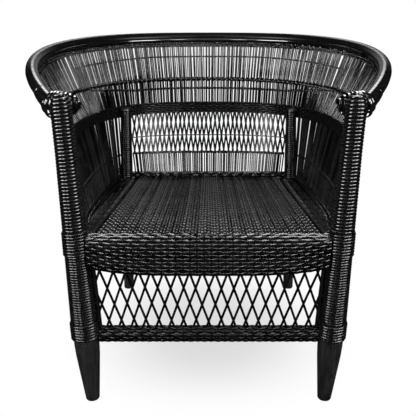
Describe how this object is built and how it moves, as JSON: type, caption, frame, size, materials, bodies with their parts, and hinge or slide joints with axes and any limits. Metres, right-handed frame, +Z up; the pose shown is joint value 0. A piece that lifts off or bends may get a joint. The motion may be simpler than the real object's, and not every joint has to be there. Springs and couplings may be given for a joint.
{
  "type": "cane tub armchair",
  "caption": "Black-painted cane armchair with a round flared back of upright canes, a woven seat, cane-wound posts and open lattice panels on a pole frame.",
  "frame": {"origin": "on the floor below the middle of the chair's width and depth", "axes": "+Z up, the chair faces -Y, +X is the right of a viewer who faces its front"},
  "size_m": [0.8112, 0.7151, 0.768],
  "materials": {
    "painted_pole": "satin",
    "painted_cane": "satin",
    "painted_weave": "satin"
  },
  "bodies": {
    "root": {"arm_end_binding_left": "painted_cane", "arm_end_binding_right": "painted_cane", "arm_hoop": "painted_cane", "back_lattice": "painted_cane", "back_row": "painted_cane", "back_spindles": "painted_cane", "corner_binding_left": "painted_weave", "corner_binding_right": "painted_weave", "flared_wall_back": "painted_cane", "flared_wall_left": "painted_cane", "flared_wall_right": "painted_cane", "foot_binding_left": "painted_weave", "foot_binding_right": "painted_weave", "front_apron": "painted_weave", "front_lattice": "painted_cane", "front_leg_left": "painted_pole", "front_leg_right": "painted_pole", "front_lower_band": "painted_weave", "front_post_wrap_lower_left": "painted_cane", "front_post_wrap_lower_right": "painted_cane", "front_post_wrap_upper_left": "painted_cane", "front_post_wrap_upper_right": "painted_cane", "front_seat_rail": "painted_pole", "front_stretcher": "painted_pole", "lattice_edge_cane_left": "painted_cane", "lattice_edge_cane_right": "painted_cane", "mid_wall_back": "painted_cane", "mid_wall_left": "painted_cane", "mid_wall_right": "painted_cane", "rear_apron": "painted_weave", "rear_leg_left": "painted_pole", "rear_leg_right": "painted_pole", "rear_post_wrap_left": "painted_cane", "rear_post_wrap_right": "painted_cane", "rear_seat_rail": "painted_pole", "seat_bearer_1": "painted_pole", "seat_bearer_2": "painted_pole", "seat_border_left": "painted_weave", "seat_border_right": "painted_weave", "seat_weave": "painted_weave", "side_apron_left": "painted_weave", "side_apron_right": "painted_weave", "side_seat_band_left": "painted_weave", "side_seat_band_right": "painted_weave", "side_seat_rail_left": "painted_pole", "side_seat_rail_right": "painted_pole", "side_wall_left": "painted_cane", "side_wall_right": "painted_cane", "top_rail": "painted_pole", "top_rail_wrap": "painted_cane", "wide_band": "painted_weave"}
  },
  "joints": []
}
